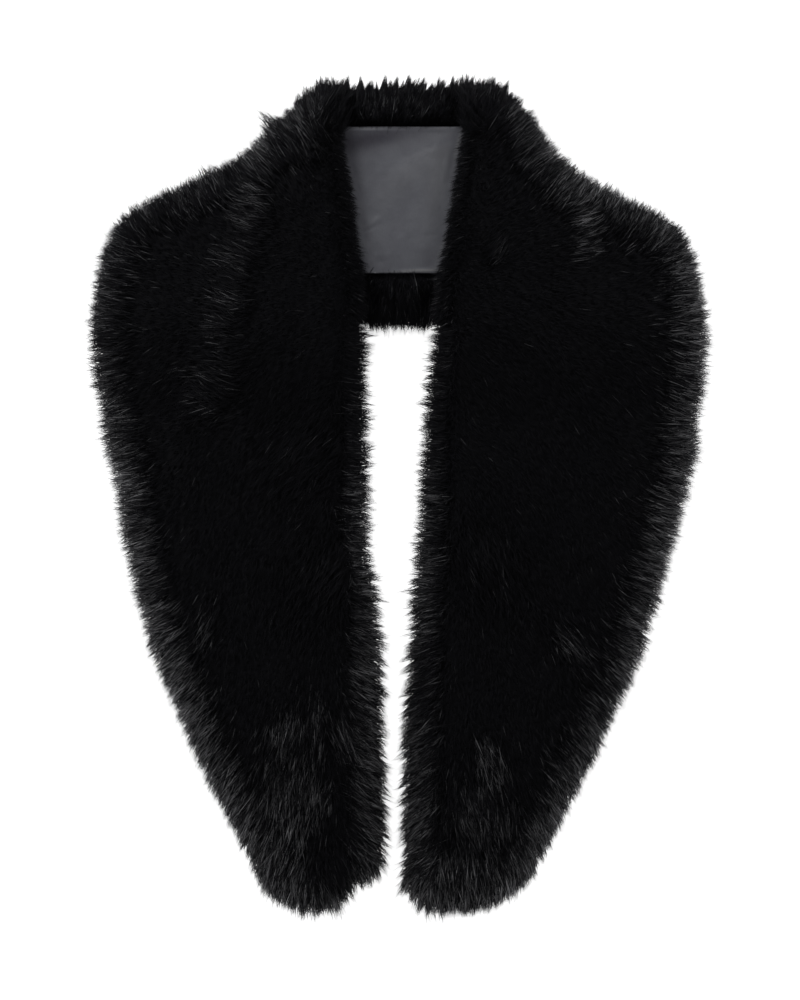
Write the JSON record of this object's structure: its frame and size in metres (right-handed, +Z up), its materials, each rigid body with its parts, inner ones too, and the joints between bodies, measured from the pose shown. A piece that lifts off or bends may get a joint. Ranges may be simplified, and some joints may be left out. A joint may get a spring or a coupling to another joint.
{
  "type": "fur collar wrap",
  "caption": "Long-pile black fur collar wrap laid flat: back neck band with satin lining showing, folded at the shoulders into two tapering fronts that hang side by side.",
  "frame": {"origin": "on the table, under the middle of the collar's bounding box", "axes": "+Y from the lower ends towards the neck edge, +Z up from the table out of the pile, +X across to the right as it is seen from above"},
  "size_m": [0.3986, 0.5398, 0.0451],
  "materials": {
    "fur": "soft long pile, near black",
    "lining": "dark grey satin"
  },
  "bodies": {
    "root": {"fur_front_left": "fur", "fur_front_right": "fur", "fur_back_neck": "fur", "lining_back_neck": "lining"}
  },
  "joints": []
}
